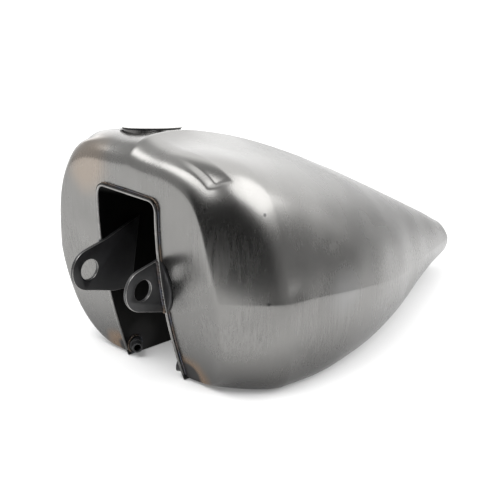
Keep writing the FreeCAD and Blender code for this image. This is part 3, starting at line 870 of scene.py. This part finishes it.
# sizes of each bead in millimetres; depth and unevenness are shares of its radius
beads = {
    "mouthBead": {"radius": 1.0, "pitch": 2.3, "depth": 0.35, "unevenness": 0.8},
    "tunnelLip": {"radius": 1.25, "pitch": 9.0, "depth": 0.05, "unevenness": 0.25},
    "bottomBeads": {"radius": 0.9, "pitch": 2.6, "depth": 0.2, "unevenness": 0.3},
    "earBeads": {"radius": 1.5, "pitch": 2.8, "depth": 0.35, "unevenness": 0.4},
    "nippleBeads": {"radius": 1.1, "pitch": 2.2, "depth": 0.3, "unevenness": 0.4},
}
beadPlaces = {
    "mouthOut": 0.7,         # outside the tunnel's sheet
    "mouthSunk": 0.2,
    "lipIn": -0.8,
    "lipForward": 2.0,
    "mouthFoot": 5.0,        # the mouth's beads end at this height
    "mouthPoints": 160,
    "bottomIn": 0.6,
    "bottomUp": 0.9,
    "earOut": 0.6,
    "earForward": 0.4,
    "earLow": 67.5,
    "earHigh": 114.0,
    "nippleIn": 0.3,
    "nippleInset": 0.8,
    "pathPoints": 40,
}


def bead(name, paths, material):
    # a weld bead along each path, which is a list of points in metres and whether it closes
    points, edges = [], []
    for path, closed in paths:
        first = len(points)
        points += [tuple(p) for p in path]
        edges += [(i, i + 1) for i in range(first, len(points) - 1)]
        if closed:
            edges.append((len(points) - 1, first))
    mesh = bpy.data.meshes.new(name)
    mesh.from_pydata(points, edges, [])
    made = addObject(name, mesh)
    modifier = made.modifiers.new("bead", "NODES")
    modifier.node_group = weldBead
    size = beads[name]
    setInputs(modifier, Radius=size["radius"] * mm, Ripplepitch=size["pitch"] * mm,
              Rippledepth=size["depth"], Unevenness=size["unevenness"], Material=material)
    return applyModifiers(made)


def mouthLine(grow, out):
    # the tunnel's outline on the front face, moved outward and forward
    half = mouthPath(tunnel["sheet"] + grow, beadPlaces["mouthPoints"])
    whole = np.concatenate([half[::-1], half[1:] * (-1, 1)])
    foot = beadPlaces["mouthFoot"]
    return atBody([(x, faceY(z) - out, z) for x, z in whole if z > foot])


# the mouth's bead takes the dark sooty weld: partly real soot, partly a painted shadow along the
# weld's toe
def mouthBead():
    line = mouthLine(beadPlaces["mouthOut"], beadPlaces["mouthSunk"])
    return bead("mouthBead", [(line, False)], blackWeld)


def tunnelLip():
    line = mouthLine(beadPlaces["lipIn"], beadPlaces["lipForward"])
    return bead("tunnelLip", [(line, False)], lipSteel)


def bottomBeads():
    paths = []
    for side in (1, -1):
        rows = skins[side][0][rimRow + 2:-body["tailRows"], -1]
        shift = np.array([-beadPlaces["bottomIn"] * side, 0.0, beadPlaces["bottomUp"]])
        paths.append((atBody(rows + shift), False))
    return bead("bottomBeads", paths, blackWeld)


def earBeads():
    paths = []
    forward = tunnel["lip"] + beadPlaces["earForward"]
    heights = np.linspace(beadPlaces["earLow"], beadPlaces["earHigh"], beadPlaces["pathPoints"])
    for side in (1, -1):
        x = side * (tunnel["half"] + beadPlaces["earOut"])
        path = [(x, faceY(z) - forward, z) for z in heights]
        paths.append((atBody(path), False))
    return bead("earBeads", paths, blackWeld)


def nippleBeads():
    # each base leaves the tunnel wall at a slant, so its weld is a little longer than high
    low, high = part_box("nipple_welds")
    middle, reach = (low + high) / 2, (high - low) / 2
    inset = beadPlaces["nippleInset"] * mm
    turns = np.linspace(0, 2 * math.pi, beadPlaces["pathPoints"], endpoint=False)
    paths = []
    for side in (1, -1):
        x = side * (tunnel["half"] - beadPlaces["nippleIn"]) * mm
        ring = [(x, middle.y + (reach.y - inset) * math.cos(a),
                 middle.z + (reach.z - inset) * math.sin(a)) for a in turns]
        paths.append((ring, True))
    return bead("nippleBeads", paths, blackWeld)


lip = tunnelLip()
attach(lip, "tank")
for made, node, slot in (
        (mouthBead(), "tunnel_mouth_weld", "weld_steel"),
        (bottomBeads(), "bottom_seam_welds", "weld_steel"),
        (earBeads(), "ear_welds", "weld_steel"),
        (nippleBeads(), "nipple_welds", "weld_steel")):
    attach(made, "tank")
    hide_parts(node)
print("weld beads laid")


# brackets, fittings and cap: the design's own shapes with their edges broken

edging = {
    "weld": 0.001,           # points closer than this are one
    "flat": 0.6,             # angles in degrees: faces within it are one,
    "bevelFrom": 28,         # edges above it are broken
    "sharpFrom": 35,         # and edges above it stay sharp in the shading
}
edgeWidths = {               # in millimetres
    "ear": 0.35,
    "flange": 0.4,
    "bracket": 0.4,
    "nipple": 0.35,
    "neck": 0.3,
    "bung": 0.4,
    "seal": 0.25,
    "cap": 0.7,
}


def edgedCopy(node, name, material, size, edge=None, segments=2, bodyName="tank"):
    work = bmesh.new()
    work.from_mesh(frame["nodes"][node].data)
    bmesh.ops.remove_doubles(work, verts=work.verts, dist=edging["weld"] * mm)
    bmesh.ops.dissolve_limit(work, angle_limit=math.radians(edging["flat"]),
                             verts=work.verts, edges=work.edges)
    mesh = bpy.data.meshes.new(name)
    work.to_mesh(mesh)
    work.free()
    made = addObject(name, mesh)
    mesh.materials.clear()
    mesh.materials.append(material)
    for polygon in mesh.polygons:
        polygon.material_index = 0
    if edge:
        mesh.materials.append(edge)
    bevel = made.modifiers.new("edges", "BEVEL")
    bevel.width = edgeWidths[size] * mm
    bevel.segments = segments
    bevel.limit_method = "ANGLE"
    bevel.angle_limit = math.radians(edging["bevelFrom"])
    bevel.use_clamp_overlap = True
    bevel.harden_normals = False
    if edge:
        bevel.material = 1
    applyModifiers(made)
    made.data.shade_smooth()
    made.data.set_sharp_from_angle(angle=math.radians(edging["sharpFrom"]))
    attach(made, bodyName)
    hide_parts(node)
    return made


edgedCopy("left_front_ear", "leftEar", blackSteel, "ear", wornEdge)
edgedCopy("right_front_ear", "rightEar", blackSteel, "ear", wornEdge)
edgedCopy("left_ear_flange", "leftFlange", blackSteel, "flange")
edgedCopy("right_ear_flange", "rightFlange", blackSteel, "flange")
edgedCopy("rear_mount_bracket", "rearBracket", blackSteel, "bracket", wornEdge)
edgedCopy("left_crossover_nipple", "leftNipple", blackSteel, "nipple")
edgedCopy("right_crossover_nipple", "rightNipple", blackSteel, "nipple")
edgedCopy("filler_neck", "fillerNeck", steel, "neck")
edgedCopy("fuel_outlet_bung", "outletBung", machined, "bung")
edgedCopy("filler_gasket", "capSeal", rubber, "seal", bodyName="cap_seal")
edgedCopy("filler_cap", "fillerCap", whitePlastic, "cap", segments=3,
          bodyName="cap")

for node, material in (
        ("frame_tunnel", tunnelPaintedShade), ("left_bottom_pan", panSteel),
        ("right_bottom_pan", panSteel), ("tail_end_plate", tipSteel),
        ("outlet_weld", freshWeld), ("bracket_welds", blackWeld)):
    slots = frame["nodes"][node].material_slots
    for index in range(len(slots)):
        slots[index].material = material
print("brackets and fittings finished")


# studio: a white table under soft lights, in a room that is bright behind and overhead
# and dark beside the tank's left flank

studio = {
    "cameraAt": (0.8364, -0.7076, 0.4082),
    "cameraTurn": 43.99,
    "cameraDown": 19.21,
    "cameraRoll": 1.35,
    "lens": 102.24,
    "sensor": 36.0,
    "clipStart": 0.01,
    "clipEnd": 60.0,
    "backdrop": 1.6,
    # the room's brightness by direction; each band runs from the first level to the next
    "ceiling": 0.5,
    "ceilingBand": (0.45, 0.75),
    "rearLow": 0.45,
    "rearHigh": 2.3,
    "rearBand": (0.08, 0.36),
    "rearTurn": (0.1, 0.45),
    "rearDip": -0.3,
    "farSide": 0.8,
    "farBand": (0.1, -0.6),
    "dark": 0.05,
    "tableGlow": 0.2,
    "tableRoughness": 0.85,
    "table": ((-3.0, -1.5), (0.42, -1.5), (0.42, 9.0), (-9.0, 9.0), (-9.0, 0.0)),
    "tableColour": 0.48,
}
lamps = (
    {"name": "frontStrip", "level": 4.5, "size": (2.8, 0.6), "at": (-0.05, -0.66, 1.35),
     "aim": (-0.05, 0.02, 0.08), "seenInMetal": True},
    {"name": "rearBox", "level": 3.0, "size": (2.2, 1.3), "at": (1.2, 1.35, 1.4),
     "aim": (0.1, 0.1, 0.05), "seenInMetal": True},
    {"name": "fill", "level": 4.5, "size": (2.4, 2.4), "at": (-0.5, -1.2, 2.1),
     "aim": (0.0, 0.1, -0.05), "seenInMetal": False},
    {"name": "sideFill", "level": 5.0, "size": (1.6, 1.2), "at": (2.0, 0.4, 1.3),
     "aim": (0.2, 0.3, -0.09), "seenInMetal": False},
)


def makeCamera():
    turn = math.radians(studio["cameraTurn"])
    down = math.radians(studio["cameraDown"])
    roll = math.radians(studio["cameraRoll"])
    forward = Vector((-math.cos(down) * math.sin(turn), math.cos(down) * math.cos(turn),
                      -math.sin(down)))
    right = Vector((math.cos(turn), math.sin(turn), 0))
    up = right.cross(forward)
    tiltedRight = right * math.cos(roll) + up * math.sin(roll)
    tiltedUp = up * math.cos(roll) - right * math.sin(roll)
    camera = addObject("camera", bpy.data.cameras.new("camera"))
    axes = Matrix((tiltedRight, tiltedUp, -forward)).transposed().to_4x4()
    camera.matrix_world = Matrix.Translation(studio["cameraAt"]) @ axes
    camera.data.lens = studio["lens"]
    camera.data.sensor_width = studio["sensor"]
    camera.data.clip_start = studio["clipStart"]
    camera.data.clip_end = studio["clipEnd"]
    bpy.context.scene.camera = camera


def makeFloor():
    low = cadBox[0].z
    corners = [(x, y, low) for x, y in studio["table"]]
    floor = meshObject("tableTop", corners, [tuple(range(len(corners)))])
    material = bpy.data.materials.new("tableTop")
    material.use_nodes = True
    shader = material.node_tree.nodes["Principled BSDF"]
    shader.inputs["Base Color"].default_value = grey(studio["tableColour"])
    shader.inputs["Roughness"].default_value = studio["tableRoughness"]
    shader.inputs["Emission Color"].default_value = grey(1.0)
    shader.inputs["Emission Strength"].default_value = studio["tableGlow"]
    floor.data.materials.append(material)


def makeWorld():
    world = bpy.data.worlds.new("studio")
    bpy.context.scene.world = world
    world.use_nodes = True
    tree = world.node_tree
    tree.nodes.clear()
    way = addNode(tree, "ShaderNodeTexCoord").outputs["Generated"]
    parts = addNode(tree, "ShaderNodeSeparateXYZ", {0: way})
    height = parts.outputs["Z"]
    across = parts.outputs["X"]
    farSide = remap(tree, across, *studio["farBand"], studio["dark"], studio["farSide"])
    # behind the tank it is bright from a little above the table up, lower on the far side
    dip = maths(tree, "MULTIPLY", maths(tree, "MINIMUM", across, 0.0), studio["rearDip"])
    rear = remap(tree, maths(tree, "ADD", height, dip), *studio["rearBand"],
                 studio["rearLow"], studio["rearHigh"])
    behind = remap(tree, parts.outputs["Y"], *studio["rearTurn"])
    rear = maths(tree, "MULTIPLY", rear, behind)
    overhead = remap(tree, height, *studio["ceilingBand"], 0.0, studio["ceiling"])
    shade = maths(tree, "ADD", maths(tree, "MAXIMUM", rear, farSide), overhead)
    seen = addNode(tree, "ShaderNodeLightPath").outputs["Is Camera Ray"]
    colour = blendColour(tree, seen, greyTone(tree, shade), grey(studio["backdrop"]))
    light = addNode(tree, "ShaderNodeBackground", {"Color": colour, "Strength": 1.0})
    addNode(tree, "ShaderNodeOutputWorld", {"Surface": light.outputs[0]})


def makeLight(name, level, size, at, aim, seenInMetal):
    # a rectangular light of a given brightness, turned to face a point
    light = bpy.data.lights.new(name, "AREA")
    light.shape = "RECTANGLE"
    light.size, light.size_y = size
    light.energy = level * math.pi * size[0] * size[1]
    lamp = addObject(name, light)
    way = Vector(aim) - Vector(at)
    turn = way.to_track_quat("-Z", "Y").to_matrix().to_4x4()
    lamp.matrix_world = Matrix.Translation(at) @ turn
    lamp.visible_glossy = seenInMetal


makeCamera()
makeFloor()
makeWorld()
for lamp in lamps:
    makeLight(**lamp)
bpy.context.scene.view_settings.view_transform = "Standard"
print("studio ready")
